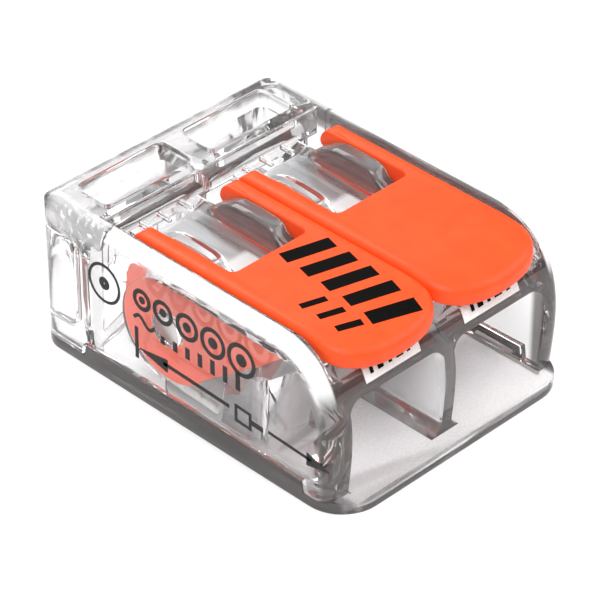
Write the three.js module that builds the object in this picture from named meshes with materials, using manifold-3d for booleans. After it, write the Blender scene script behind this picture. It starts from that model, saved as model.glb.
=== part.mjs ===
// Two-conductor lever wire connector: a clear housing and base cover, two levers, two clamp springs
// and one busbar. Millimetres, +Z up. X runs across the two poles, -Y is the wire-entry side, and
// Z = 0 is the underside.

import * as THREE from 'three';
import { mergeVertices } from 'three/addons/utils/BufferGeometryUtils.js';
import Module from 'manifold-3d';

const wasm = await Module();
wasm.setup();

// Driving dimensions of the whole connector
const WIDTH = 16.0;
const DEPTH = 21.1;
const HEIGHT = 8.7;
const POLE_PITCH = 6.9;
const FLOOR = 0.6;
// Farther out than any surface of the part: where cuts that run right through it start and end
const BEYOND = 12;

// Housing
const HALF_WIDTH = WIDTH / 2;
const REAR = DEPTH / 2;
const FACE = -9.75;
const EDGE_ROUND = 0.9;
const REAR_EDGE_ROUND = 1.0;
const REAR_CORNER = 1.45;
const FRONT_CORNER = 0.9;
const BAY_HALF_WIDTH = 7.05;
const MECHANISM_FRONT = -1.5;
const BULKHEAD = { front: 6.75, rear: 7.35 };
const REAR_BLOCK = { front: 6.1, bottom: 7.1 };
const REAR_WALL_FRONT = 9.75;
const DECK_TOP = 6.9;
const DECK_WIDE_REAR = -7.5;
const ENTRY_ROOF = 6.05;
const ENTRY = { halfWidth: 3.1, top: 5.75, corner: 0.9, depth: 0.85 };
const FUNNEL = { front: -5.2, rear: -3.2 };
const DIVIDER_FOOT = { halfWidth: 0.65, top: 1.4 };
const CHANNEL_HALF_WIDTH = 2.06;
const GUIDE_HALF_WIDTH = 2.36;
const DIVIDER_THICKNESS = 0.6;
const WEB_THICKNESS = 0.4;
const CHEEK_FACE = 6.7;
const CHEEK_TOP = 7.4;
const POST_THICKNESS = 0.6;
const RECESS = { halfWidth: 2.8, front: 7.0, rear: 9.3, bottom: 7.75, corner: 0.35 };
const BULKHEAD_WINDOW = { halfWidth: 2.2, bottom: 1.0, top: 5.6, corner: 0.5 };

// Base cover: its floor plate, a raised strip along each side and a tongue in each side wall
const COVER_FRONT_CORNER = 2.2;
const COVER_GAP = 0.02;
const SIDE_STRIP = { inner: 7.45, front: -7.95, rear: 7.25, bottom: 0.2, top: 1.15, taper: 0.15 };
const SIDE_STRIP_GAP = 0.1;
const TONGUE = { inner: 7.0, front: 7.6, bottom: 2.0, top: 7.0, corner: 0.6, clearance: 0.1 };
const TONGUE_ROOT = 6.6;
const REAR_WALL_HALF_WIDTH = 7.0;

// Lever and its pivot
const PIVOT = { y: 1.7, z: 4.55 };
const BOSS_RADIUS = 0.9;
const BOSS_HOLE_RADIUS = 1.05;
const INNER_BOSS_END = 0.85;
const OUTER_BOSS_START = 6.05;
const DISC_RADIUS = 3.0;
const PLATE = { inner: 2.55, outer: 3.05 };
const LEVER_HALF_WIDTH = 3.4;
const PAD = { underside: 7.6, rear: -1.27, front: -9.9, noseTop: 8.05, noseBottom: 7.15 };
const ARM_REAR = 4.75;
const ARM_INNER = 2.45;
const NOSE_CORNER = 2.2;
const LUG = { y: 1.37, z: 2.57, radius: 0.45, inner: 1.9 };
const ROOF = { halfWidth: 2.25, shelf: 7.35, thickness: 0.45, front: -1.0, toe: -2.1 };
const RAIL = { inner: 1.45, outer: 2.32, sweep: 4.15, top: 8.43, round: 0.05 };

// Clamp spring and busbar
const STRIP = 0.35;
const SPRING_HALF_WIDTH = 1.75;
const BOW = { y: -0.6, z: 5.6, radius: 0.7 };
const CLAMP_ANGLE = THREE.MathUtils.degToRad(-45);
const CLAMP_LENGTH = 4.85;
const BOW_SLIT = THREE.MathUtils.degToRad(6);
const HOOK = { gap: 0.08, bottom: 5.75, bend: 0.12, flat: 1.08 };
const SPRING_SEAT_GAP = 0.06;
const BUSBAR = { bottom: 0.75, top: 1.35, front: -1.2, rear: 5.3, halfWidth: 2.2 };
const FRAME = { front: 4.8, rear: 5.3, top: 6.3, windowHalfWidth: 1.5, windowTop: 5.6 };

const CURVE_STEPS = 6;
const AROUND = 32;

// A closed three.js geometry as a manifold-3d solid
function toSolid(geometry) {
  geometry.deleteAttribute('normal');
  geometry.deleteAttribute('uv');
  const merged = mergeVertices(geometry, 1e-5);
  return new wasm.Manifold(new wasm.Mesh({
    numProp: 3,
    vertProperties: new Float32Array(merged.attributes.position.array),
    triVerts: new Uint32Array(merged.index.array),
  }));
}

// A manifold-3d solid as a named mesh
function toMesh(name, solid, material, x = 0) {
  const { vertProperties, triVerts } = solid.getMesh();
  const geometry = new THREE.BufferGeometry();
  geometry.setAttribute('position', new THREE.BufferAttribute(new Float32Array(vertProperties), 3));
  geometry.setIndex(new THREE.BufferAttribute(new Uint32Array(triVerts), 1));
  geometry.computeVertexNormals();
  const mesh = new THREE.Mesh(geometry, material);
  mesh.name = name;
  mesh.position.x = x;
  return mesh;
}

const joined = (solids) => solids.reduce((sum, solid) => sum.add(solid));
const without = (solid, cutters) => cutters.reduce((rest, cutter) => rest.subtract(cutter), solid);

// An outline drawn in (y, z), extruded along X from x0 to x1, with its end edges rounded by "round"
function alongX(outline, x0, x1, round = 0) {
  const geometry = new THREE.ExtrudeGeometry(outline, {
    depth: x1 - x0 - 2 * round,
    curveSegments: CURVE_STEPS,
    bevelEnabled: round > 0,
    bevelThickness: round,
    bevelSize: round,
    bevelOffset: -round,
    bevelSegments: 4,
  });
  const axes = new THREE.Matrix4().makeBasis(
    new THREE.Vector3(0, 1, 0), new THREE.Vector3(0, 0, 1), new THREE.Vector3(1, 0, 0));
  geometry.applyMatrix4(axes).translate(x0 + round, 0, 0);
  return toSolid(geometry);
}

// An outline drawn in (x, y), extruded upwards from z0 to z1
function alongZ(outline, z0, z1) {
  const geometry = new THREE.ExtrudeGeometry(outline, {
    depth: z1 - z0, curveSegments: CURVE_STEPS, bevelEnabled: false,
  });
  return toSolid(geometry.translate(0, 0, z0));
}

// An outline drawn in (x, z), extruded along Y from y0 to y1
function alongY(outline, y0, y1) {
  const geometry = new THREE.ExtrudeGeometry(outline, {
    depth: y1 - y0, curveSegments: CURVE_STEPS, bevelEnabled: false,
  });
  return toSolid(geometry.rotateX(Math.PI / 2).translate(0, y1, 0));
}

function box(x0, x1, y0, y1, z0, z1) {
  const geometry = new THREE.BoxGeometry(x1 - x0, y1 - y0, z1 - z0);
  return toSolid(geometry.translate((x0 + x1) / 2, (y0 + y1) / 2, (z0 + z1) / 2));
}

// A round bar along X, centred on (y, z)
function barX(x0, x1, y, z, radius) {
  const geometry = new THREE.CylinderGeometry(radius, radius, x1 - x0, AROUND);
  return toSolid(geometry.rotateZ(Math.PI / 2).translate((x0 + x1) / 2, y, z));
}

function polygon(points) {
  return new THREE.Shape(points.map(([u, v]) => new THREE.Vector2(u, v)));
}

// A rectangle whose four corners are rounded by rear and front radii (front is the low-v side)
function roundedRectangle(u0, u1, v0, v1, front, rear = front) {
  const shape = new THREE.Shape();
  shape.moveTo(u0 + front, v0).lineTo(u1 - front, v0);
  shape.absarc(u1 - front, v0 + front, front, -Math.PI / 2, 0, false);
  shape.lineTo(u1, v1 - rear).absarc(u1 - rear, v1 - rear, rear, 0, Math.PI / 2, false);
  shape.lineTo(u0 + rear, v1).absarc(u0 + rear, v1 - rear, rear, Math.PI / 2, Math.PI, false);
  shape.lineTo(u0, v0 + front).absarc(u0 + front, v0 + front, front, Math.PI, 1.5 * Math.PI, false);
  return shape;
}

// The feature that "make" draws on the centre plane, once at each pole
const atBothPoles = (make) => [-POLE_PITCH / 2, POLE_PITCH / 2].map((x) => make().translate(x, 0, 0));
// The feature that "make" draws on the +X side, with its mirror image on the other side
const mirroredX = (make) => [make(), make().mirror([1, 0, 0])];

// ---- Housing ----

// Side view of the housing: flat top, a front that falls away in a long curve to the wire entries
function housingOutline(bottom) {
  const shape = new THREE.Shape();
  shape.moveTo(REAR, bottom).lineTo(REAR, HEIGHT - REAR_EDGE_ROUND);
  shape.absarc(REAR - REAR_EDGE_ROUND, HEIGHT - REAR_EDGE_ROUND, REAR_EDGE_ROUND, 0, Math.PI / 2, false);
  shape.lineTo(-5.6, HEIGHT);
  shape.bezierCurveTo(-7.2, HEIGHT, -8.3, 8.1, -8.9, 7.1);
  shape.bezierCurveTo(-9.5, 6.1, FACE, 5.0, FACE, 3.8);
  shape.bezierCurveTo(FACE, 2.6, -9.6, 1.6, -9.5, FLOOR).lineTo(-9.5, bottom);
  return shape;
}

// Side view of the web that carries a lever's bearing boss: it stops inside the sweep of the lever's arms
function webOutline() {
  const reach = DISC_RADIUS - 0.15;
  const shape = new THREE.Shape();
  shape.moveTo(FACE, FLOOR).lineTo(PIVOT.y, FLOOR).lineTo(PIVOT.y, PIVOT.z - reach);
  shape.absarc(PIVOT.y, PIVOT.z, reach, -Math.PI / 2, THREE.MathUtils.degToRad(130), false);
  shape.lineTo(-1.9, DECK_TOP).lineTo(-9.2, DECK_TOP).lineTo(FACE, 5.6);
  return shape;
}

// Side view of the cheek inside a side wall: as the web, but level under the lever's arms up to the pivot
function cheekOutline() {
  const reach = DISC_RADIUS - 0.15;
  const shape = new THREE.Shape();
  shape.moveTo(FACE, FLOOR).lineTo(PIVOT.y, FLOOR).lineTo(PIVOT.y, PIVOT.z - reach);
  shape.absarc(PIVOT.y, PIVOT.z, reach, -Math.PI / 2, Math.PI / 2, false);
  shape.lineTo(-7.2, CHEEK_TOP).lineTo(-9.2, DECK_TOP).lineTo(FACE, 5.6);
  return shape;
}

// Side view of the deck over the wire entries, with a thicker lip at the front
function deckOutline() {
  return polygon([[-9.62, 5.75], [-9.2, 5.75], [-7.8, ENTRY_ROOF], [-5.4, ENTRY_ROOF], [-3.2, 5.35],
    [MECHANISM_FRONT, 5.35], [MECHANISM_FRONT, DECK_TOP], [-8.9, DECK_TOP], [-9.3, 6.55]]);
}

// Side view of the level roof between a lever's arms, which drops to the deck in front
function roofOutline() {
  const underside = ROOF.shelf - ROOF.thickness;
  const rear = REAR_BLOCK.front + 0.3;
  return polygon([[rear, underside], [rear, ROOF.shelf], [ROOF.front, ROOF.shelf],
    [ROOF.toe, DECK_TOP], [ROOF.toe, DECK_TOP - 0.4], [MECHANISM_FRONT, DECK_TOP - 0.4],
    [MECHANISM_FRONT + 0.2, underside]]);
}

// Side view of the rail beside a lever's arm: it stays inside the sweep of the lever's window
function railOutline() {
  const foot = ROOF.shelf - 0.1;
  const angleAt = (height) => Math.asin((height - PIVOT.z) / RAIL.sweep);
  const topFront = PIVOT.y - RAIL.sweep * Math.cos(angleAt(RAIL.top));
  const shape = new THREE.Shape();
  shape.moveTo(ROOF.front - 0.1, foot).lineTo(PIVOT.y + RAIL.sweep * Math.cos(angleAt(foot)), foot);
  shape.absarc(PIVOT.y, PIVOT.z, RAIL.sweep, angleAt(foot), angleAt(RAIL.top), false);
  shape.lineTo(topFront, RAIL.top).lineTo(topFront - 0.2, RAIL.top - 0.3);
  return shape;
}

// Plan of the wall that narrows one side of a wire entry down to the width between the lever's plates
function funnelWall() {
  const outer = ENTRY.halfWidth + 0.25;
  const plan = polygon([[outer, FACE + 0.1], [ENTRY.halfWidth, FACE], [ENTRY.halfWidth, FUNNEL.front],
    [CHANNEL_HALF_WIDTH, FUNNEL.rear], [CHANNEL_HALF_WIDTH, MECHANISM_FRONT],
    [GUIDE_HALF_WIDTH, MECHANISM_FRONT], [GUIDE_HALF_WIDTH, FUNNEL.rear + 0.2], [outer, FUNNEL.front + 0.3]]);
  return alongZ(plan, FLOOR, DECK_TOP);
}

// Frame around one wire entry at the face, with rounded upper corners
function entryFrame() {
  const slab = box(-POLE_PITCH / 2, POLE_PITCH / 2, FACE, FACE + ENTRY.depth, FLOOR, ENTRY.top + 0.4);
  const opening = roundedRectangle(-ENTRY.halfWidth, ENTRY.halfWidth, FLOOR - 1, ENTRY.top,
    0.1, ENTRY.corner);
  return slab.subtract(alongY(opening, FACE - 1, FACE + ENTRY.depth + 1));
}

// Side view of the base cover's raised side strip, grown by "gap" for the notch it sits in
function sideStripOutline(gap) {
  const { front, rear, bottom, top, taper } = SIDE_STRIP;
  return polygon([[front - gap, bottom - gap], [rear + gap, bottom - gap],
    [rear + gap - taper, top + gap], [front - gap + taper, top + gap]]);
}

function housingShell() {
  const below = -3;
  const plan = roundedRectangle(-HALF_WIDTH, HALF_WIDTH, FACE, REAR, FRONT_CORNER, REAR_CORNER);
  const block = alongX(housingOutline(below), -HALF_WIDTH, HALF_WIDTH, EDGE_ROUND)
    .intersect(alongZ(plan, below, BEYOND));
  const shell = without(block, [
    box(-BEYOND, BEYOND, -BEYOND, BEYOND, below - 1, FLOOR),
    // lever bay, open at the top and the front
    box(-BAY_HALF_WIDTH, BAY_HALF_WIDTH, -BEYOND, REAR_BLOCK.front, DECK_TOP - 0.2, BEYOND),
    // everything under it, from the wire entries to the base cover's rear wall
    box(-BAY_HALF_WIDTH, BAY_HALF_WIDTH, -BEYOND, BEYOND, FLOOR - 1, REAR_BLOCK.bottom),
  ]);

  const features = joined([
    shell,
    // divider between the wire entries, and the thinner web behind it that carries the inner bosses
    alongX(webOutline(), -WEB_THICKNESS / 2, WEB_THICKNESS / 2),
    alongX(webOutline(), -DIVIDER_THICKNESS / 2, DIVIDER_THICKNESS / 2)
      .intersect(box(-1, 1, -BEYOND, MECHANISM_FRONT - 0.6, 0, BEYOND)),
    alongY(polygon([[-DIVIDER_FOOT.halfWidth, FLOOR], [DIVIDER_FOOT.halfWidth, FLOOR],
      [DIVIDER_THICKNESS / 2, DIVIDER_FOOT.top], [-DIVIDER_THICKNESS / 2, DIVIDER_FOOT.top]]),
    FACE, MECHANISM_FRONT),
    barX(-INNER_BOSS_END, INNER_BOSS_END, PIVOT.y, PIVOT.z, BOSS_RADIUS),
    // thicker cheek inside each side wall, with the outer bosses
    ...mirroredX(() => alongX(cheekOutline(), CHEEK_FACE, BAY_HALF_WIDTH + 0.2)),
    ...mirroredX(() => barX(OUTER_BOSS_START, BAY_HALF_WIDTH + 0.2, PIVOT.y, PIVOT.z, BOSS_RADIUS)),
    ...atBothPoles(() => joined([
      alongX(deckOutline(), -POLE_PITCH / 2, POLE_PITCH / 2).intersect(joined([
        box(-POLE_PITCH / 2, POLE_PITCH / 2, -BEYOND, DECK_WIDE_REAR, 0, BEYOND),
        box(-GUIDE_HALF_WIDTH, GUIDE_HALF_WIDTH, DECK_WIDE_REAR - 0.5, 0, 0, BEYOND),
      ])),
      ...mirroredX(funnelWall),
      entryFrame(),
      alongX(roofOutline(), -ROOF.halfWidth, ROOF.halfWidth),
      ...mirroredX(() => alongX(railOutline(), RAIL.inner, RAIL.outer, RAIL.round)),
    ])),
    // bulkhead behind the levers
    box(-BAY_HALF_WIDTH - 0.1, BAY_HALF_WIDTH + 0.1, BULKHEAD.front, BULKHEAD.rear,
      FLOOR, REAR_BLOCK.bottom + 0.1),
    // post between the two rear chambers
    box(-POST_THICKNESS / 2, POST_THICKNESS / 2, BULKHEAD.front, REAR_WALL_FRONT - 0.3,
      FLOOR, REAR_BLOCK.bottom + 0.1),
  ]).intersect(block);

  const leverFrontPocket = polygon([[-7.6, 7.4], [-7.6, 7.3], [-7.0, 6.75], [-0.9, 2.1], [0, 2.1],
    [0, 7.4]]);
  return without(features, [
    // recess over each rear chamber
    ...atBothPoles(() => alongZ(roundedRectangle(-RECESS.halfWidth, RECESS.halfWidth,
      RECESS.front, RECESS.rear, RECESS.corner), RECESS.bottom, HEIGHT + 0.3)),
    // wire window through the bulkhead
    ...atBothPoles(() => alongY(roundedRectangle(-BULKHEAD_WINDOW.halfWidth, BULKHEAD_WINDOW.halfWidth,
      BULKHEAD_WINDOW.bottom, BULKHEAD_WINDOW.top, BULKHEAD_WINDOW.corner),
    BULKHEAD.front - 0.5, BULKHEAD.rear + 0.5)),
    // room for the lever's plates in front of the pivot
    ...atBothPoles(() => joined(mirroredX(() => alongX(leverFrontPocket, GUIDE_HALF_WIDTH, 3.25)))),
    // busbar passage under the webs
    box(-5.9, 5.9, 1.85, BUSBAR.rear + 0.2, FLOOR - 1, BUSBAR.top + 0.15),
    // windows in the side walls for the base cover's tongues
    ...mirroredX(() => alongX(roundedRectangle(TONGUE.front - TONGUE.clearance, BEYOND + 0.5,
      TONGUE.bottom - TONGUE.clearance, TONGUE.top + TONGUE.clearance, 0.65),
    TONGUE.inner - TONGUE.clearance, BEYOND)),
    // notch for the base cover's raised side strips
    ...mirroredX(() => alongX(sideStripOutline(SIDE_STRIP_GAP), SIDE_STRIP.inner - SIDE_STRIP_GAP, BEYOND)),
  ]);
}

// ---- Base cover ----

function baseCover() {
  const footprint = () =>
    roundedRectangle(-HALF_WIDTH, HALF_WIDTH, -REAR, REAR, COVER_FRONT_CORNER, REAR_CORNER);
  const tongue = roundedRectangle(TONGUE.front, BEYOND, TONGUE.bottom, TONGUE.top, TONGUE.corner);
  return joined([
    alongZ(footprint(), 0, FLOOR - COVER_GAP),
    ...mirroredX(() => alongX(sideStripOutline(0), SIDE_STRIP.inner, HALF_WIDTH)),
    // rear wall and the tongues that reach forward from its corners
    box(-REAR_WALL_HALF_WIDTH, REAR_WALL_HALF_WIDTH, REAR_WALL_FRONT, REAR, 0.2, TONGUE.top),
    ...mirroredX(() => alongX(tongue, TONGUE.inner, HALF_WIDTH)),
    ...mirroredX(() => box(TONGUE_ROOT, HALF_WIDTH, REAR_WALL_FRONT, REAR, TONGUE.bottom, TONGUE.top)),
  ]).intersect(alongZ(footprint(), -1, BEYOND));
}

// ---- Lever ----

// Side view of a lever plate: a bearing disc that runs forward and up into the pad
function plateOutline() {
  const shape = new THREE.Shape();
  shape.moveTo(-7.1, PAD.underside + 0.1);
  shape.lineTo(-0.78, 2.78);
  shape.absarc(PIVOT.y, PIVOT.z, DISC_RADIUS, THREE.MathUtils.degToRad(216), 2 * Math.PI, false);
  shape.lineTo(4.7, 7.7).lineTo(4.5, 8.3).lineTo(-6.6, 8.3);
  return shape;
}

// Side view of the arm over a plate, rounded down at its rear tip
function armOutline() {
  const shape = new THREE.Shape();
  shape.moveTo(-2.2, PAD.underside).lineTo(ARM_REAR, PAD.underside).lineTo(ARM_REAR, 7.85);
  shape.bezierCurveTo(ARM_REAR, 8.35, 4.35, HEIGHT, 3.8, HEIGHT);
  shape.lineTo(-2.2, HEIGHT);
  return shape;
}

// Side view of the pad: level over the housing, drooping to a rounded nose
function padOutline() {
  const shape = new THREE.Shape();
  shape.moveTo(PAD.rear, PAD.underside).lineTo(PAD.rear, HEIGHT).lineTo(-6.0, HEIGHT);
  shape.bezierCurveTo(-7.6, HEIGHT, -8.9, 8.5, -9.5, PAD.noseTop);
  shape.bezierCurveTo(-10.05, 7.75, -10.05, PAD.noseBottom, -9.45, PAD.noseBottom);
  shape.bezierCurveTo(-8.8, PAD.noseBottom, -8.2, PAD.underside, -7.4, PAD.underside);
  return shape;
}

function lever() {
  const plan = new THREE.Shape();
  plan.moveTo(-LEVER_HALF_WIDTH, 0).lineTo(-LEVER_HALF_WIDTH, PAD.front + NOSE_CORNER);
  plan.bezierCurveTo(-LEVER_HALF_WIDTH, -9.25, -2.1, PAD.front, 0, PAD.front);
  plan.bezierCurveTo(2.1, PAD.front, LEVER_HALF_WIDTH, -9.25, LEVER_HALF_WIDTH, PAD.front + NOSE_CORNER);
  plan.lineTo(LEVER_HALF_WIDTH, 0);
  const pad = alongX(padOutline(), -LEVER_HALF_WIDTH, LEVER_HALF_WIDTH, 0.3)
    .intersect(alongZ(plan, 5, HEIGHT + 1));
  const sides = mirroredX(() => joined([
    alongX(plateOutline(), PLATE.inner, PLATE.outer),
    alongX(armOutline(), ARM_INNER, LEVER_HALF_WIDTH, 0.2),
    barX(LUG.inner, PLATE.inner + 0.1, LUG.y, LUG.z, LUG.radius),
  ]));
  const holes = barX(-4, 4, PIVOT.y, PIVOT.z, BOSS_HOLE_RADIUS);
  return joined([pad, ...sides]).subtract(holes);
}

// ---- Clamp spring: one bent strip, split in the bow where it flexes ----

// A point at an angle and radius from the centre of the bow
const bowPoint = (angle, radius) =>
  [BOW.y + radius * Math.cos(angle), BOW.z + radius * Math.sin(angle)];

function springHoldingLeg() {
  const outer = BOW.radius + STRIP / 2;
  const inner = BOW.radius - STRIP / 2;
  const bowEnd = CLAMP_ANGLE + 1.5 * Math.PI - BOW_SLIT;
  const shape = new THREE.Shape();
  const [startY, startZ] = bowPoint(Math.PI / 2, outer);
  shape.moveTo(startY, startZ);
  shape.absarc(BOW.y, BOW.z, outer, Math.PI / 2, bowEnd, false);
  shape.absarc(BOW.y, BOW.z, inner, bowEnd, Math.PI / 2, true);
  // along the top, over the frame's crossbar and down behind it
  const seat = FRAME.top + SPRING_SEAT_GAP;
  const hookFace = FRAME.rear + HOOK.gap;
  shape.lineTo(hookFace - HOOK.flat, seat).lineTo(hookFace, seat);
  shape.lineTo(hookFace, HOOK.bottom).lineTo(hookFace + STRIP, HOOK.bottom);
  shape.lineTo(hookFace + STRIP, seat + STRIP - HOOK.bend * 2);
  shape.lineTo(hookFace + HOOK.bend, seat + STRIP).lineTo(hookFace - HOOK.flat, seat + STRIP);
  return alongX(shape, -SPRING_HALF_WIDTH, SPRING_HALF_WIDTH);
}

function springClampingLeg() {
  const start = CLAMP_ANGLE + 1.5 * Math.PI;
  const [outerY, outerZ] = bowPoint(start, BOW.radius + STRIP / 2);
  const [innerY, innerZ] = bowPoint(start, BOW.radius - STRIP / 2);
  const innerLength = CLAMP_LENGTH + STRIP;
  const outline = polygon([
    [outerY, outerZ],
    [outerY + CLAMP_LENGTH * Math.cos(CLAMP_ANGLE), outerZ + CLAMP_LENGTH * Math.sin(CLAMP_ANGLE)],
    [innerY + innerLength * Math.cos(CLAMP_ANGLE), innerZ + innerLength * Math.sin(CLAMP_ANGLE)],
    [innerY, innerZ],
  ]);
  return alongX(outline, -SPRING_HALF_WIDTH, SPRING_HALF_WIDTH);
}

// ---- Busbar: one plate under both poles with an upright frame at the back of each ----

function busbar() {
  const { bottom, top, front, rear, halfWidth } = BUSBAR;
  const frames = atBothPoles(() => without(joined([
    box(-halfWidth, halfWidth, front, rear, bottom, top),
    box(-halfWidth, halfWidth, FRAME.front, FRAME.rear, bottom, FRAME.top),
  ]), [
    alongY(roundedRectangle(-FRAME.windowHalfWidth, FRAME.windowHalfWidth, top, FRAME.windowTop, 0.4),
      FRAME.front - 0.5, FRAME.rear + 0.5),
  ]));
  return joined([...frames, box(-4, 4, 2.0, rear, bottom, top)]);
}

// ---- Assembly ----

const plastic = (color, opacity) => new THREE.MeshStandardMaterial({
  color, roughness: 0.25, metalness: 0, transparent: opacity < 1, opacity,
});
const metal = (color, roughness) => new THREE.MeshStandardMaterial({ color, roughness, metalness: 1 });

const connector = new THREE.Group();
connector.add(
  toMesh('housing_shell', housingShell(), plastic(0xeef1f2, 0.35)),
  toMesh('base_cover', baseCover(), plastic(0xe4e7e8, 0.35)),
  toMesh('busbar', busbar(), metal(0xc9c6c2, 0.3)),
);
for (const [side, x] of [['left', -POLE_PITCH / 2], ['right', POLE_PITCH / 2]]) {
  connector.add(
    toMesh(`lever_${side}`, lever(), plastic(0xff5a1e, 1), x),
    toMesh(`spring_${side}_holding_leg`, springHoldingLeg(), metal(0xb8babd, 0.25), x),
    toMesh(`spring_${side}_clamping_leg`, springClampingLeg(), metal(0xb8babd, 0.25), x),
  );
}

export default connector;
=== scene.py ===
"""Looks of the two-conductor lever wire connector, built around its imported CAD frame.

Shapes are drawn in millimetres with X across the poles, -Y towards the wire entries and +Z up,
and are turned into metres when a piece is finished.
"""

import math

import bmesh
import bpy
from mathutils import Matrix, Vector


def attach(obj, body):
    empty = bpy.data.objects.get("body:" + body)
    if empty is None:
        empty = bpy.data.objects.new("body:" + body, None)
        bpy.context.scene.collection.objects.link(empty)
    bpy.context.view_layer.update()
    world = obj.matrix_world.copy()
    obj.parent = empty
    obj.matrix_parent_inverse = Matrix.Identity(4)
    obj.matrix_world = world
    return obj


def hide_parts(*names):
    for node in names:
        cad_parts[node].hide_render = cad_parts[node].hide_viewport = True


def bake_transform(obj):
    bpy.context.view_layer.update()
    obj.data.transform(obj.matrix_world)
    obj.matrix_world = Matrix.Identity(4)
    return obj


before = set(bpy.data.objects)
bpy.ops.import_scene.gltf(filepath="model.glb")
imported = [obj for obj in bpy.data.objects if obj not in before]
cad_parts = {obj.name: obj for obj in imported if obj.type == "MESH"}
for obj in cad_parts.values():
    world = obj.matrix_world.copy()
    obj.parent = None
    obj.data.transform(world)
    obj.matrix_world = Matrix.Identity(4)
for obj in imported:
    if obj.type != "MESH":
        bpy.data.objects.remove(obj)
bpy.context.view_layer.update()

# ---------------------------------------------------------------- sizes, in millimetres

MM = 0.001
BEYOND = 12.0                                 # past every face, for cutters

# body
HALF_WIDTH, REAR, HEIGHT = 8.0, 10.55, 8.7
FACE = -9.75
BEFORE_FACE = FACE - 0.3
FLOOR = 0.6                                   # top of the base cover
FRONT_CORNER, REAR_CORNER = 0.9, 1.45
COVER_FRONT_CORNER = 2.2
TOP_ROUND = 0.9
POLE = 3.45                                   # from the middle to each pole
BAY = 7.05                                    # half the width between the side walls
DECK_TOP = 6.9
BAR_FRONT, BLOCK_BOTTOM, WALL_FRONT = 6.1, 7.1, 9.75
SEAM = 5.5

# wire entries
ENTRY_HALF, ENTRY_TOP, ENTRY_ROOF = 3.1, 5.75, 6.05
FUNNEL_FRONT, FUNNEL_REAR = -5.2, -3.2
CHANNEL, GUIDE = 2.06, 2.36

# roof between a lever's arms, with its rails
SHELF = 7.35
ROOF_THICK, ROOF_HALF = 0.45, 2.25
ROOF_FRONT, ROOF_TOE = -1.0, -2.1
RAIL_INNER, RAIL_OUTER, RAIL_SWEEP = 1.42, 2.38, 4.19

# hinge
PIVOT_Y, PIVOT_Z = 1.7, 4.55
BOSS_RADIUS, BOSS_HOLE = 0.9, 1.05
DISC = 3.0                                    # radius of the lever's plates round the pivot
WEB_REACH = 2.85
CHEEK_FACE = 6.7

# lever
LEVER_HALF = 3.4
PLATE_INNER, PLATE_OUTER = 2.55, 3.05
PAD_UNDER, PAD_REAR, PAD_FRONT = 7.6, -1.27, -9.9
DROOP_START, NOSE_DROP = -6.2, 0.6
ARM_REAR = 4.75
WINDOW_HALF = 2.45
LUG_Y, LUG_Z, LUG_RADIUS, LUG_INNER = 1.37, 2.57, 0.45, 1.9

# spring and busbar
STRIP = 0.35                                  # thickness of the spring
SPRING_HALF = 1.75
BOW_Y, BOW_Z, BOW_R = -0.6, 5.6, 0.7
CLAMP_ANGLE = math.radians(-45)
CLAMP_LENGTH = 4.85
BUS_HALF, BUS_BOTTOM, BUS_TOP = 2.2, 0.75, 1.35
FRAME_FRONT, FRAME_REAR, FRAME_TOP = 4.8, 5.3, 6.3
WIRE_HALF, WIRE_TOP = 1.5, 5.6
HOOK_GAP, SEAT_GAP = 0.08, 0.06

# the cover's side tongues
TONGUE_INNER, TONGUE_FRONT = 6.9, 7.6
TONGUE_BOTTOM, TONGUE_TOP = 2.0, 7.0
TONGUE_GAP = 0.1


# ---------------------------------------------------------------- outlines

def arc(cu, cv, radius, start, end, steps=10):
    """Points on a circle from start to end, in degrees."""
    turns = [math.radians(start + (end - start) * i / steps) for i in range(steps + 1)]
    return [(cu + radius * math.cos(t), cv + radius * math.sin(t)) for t in turns]


def bezier(p0, p1, p2, p3, steps=10):
    """Points on a cubic curve, without its first point."""
    points = []
    for i in range(1, steps + 1):
        t = i / steps
        s = 1 - t
        points.append(tuple(
            s**3 * a + 3 * s * s * t * b + 3 * s * t * t * c + t**3 * d
            for a, b, c, d in zip(p0, p1, p2, p3)))
    return points


def rounded(u0, u1, v0, v1, low, high=None, steps=6):
    """A rectangle with rounded corners: radius low at the v0 side, high at the v1 side."""
    high = low if high is None else high
    return (arc(u1 - low, v0 + low, low, -90, 0, steps) + arc(u1 - high, v1 - high, high, 0, 90, steps)
            + arc(u0 + high, v1 - high, high, 90, 180, steps) + arc(u0 + low, v0 + low, low, 180, 270, steps))


def cleaned(outline):
    """The outline without doubled points, running anticlockwise."""
    points = []
    for p in outline:
        if not points or math.dist(p, points[-1]) > 1e-5:
            points.append(p)
    if math.dist(points[0], points[-1]) < 1e-5:
        points.pop()
    area = sum(a[0] * b[1] - b[0] * a[1] for a, b in zip(points, points[1:] + points[:1]))
    return points if area > 0 else points[::-1]


def inset(outline, distance):
    """An anticlockwise outline moved inwards along the mitre of each corner."""
    moved = []
    count = len(outline)
    for i, (u, v) in enumerate(outline):
        pu, pv = outline[i - 1]
        nu, nv = outline[(i + 1) % count]
        a = Vector((u - pu, v - pv)).normalized()
        b = Vector((nu - u, nv - v)).normalized()
        na, nb = Vector((-a.y, a.x)), Vector((-b.y, b.x))
        mitre = (na + nb) / max(1 + na.dot(nb), 0.3)
        moved.append((u + mitre.x * distance, v + mitre.y * distance))
    return moved


# ---------------------------------------------------------------- solids

def new_object(name, mesh):
    obj = bpy.data.objects.new(name, mesh)
    bpy.context.scene.collection.objects.link(obj)
    return obj


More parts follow.
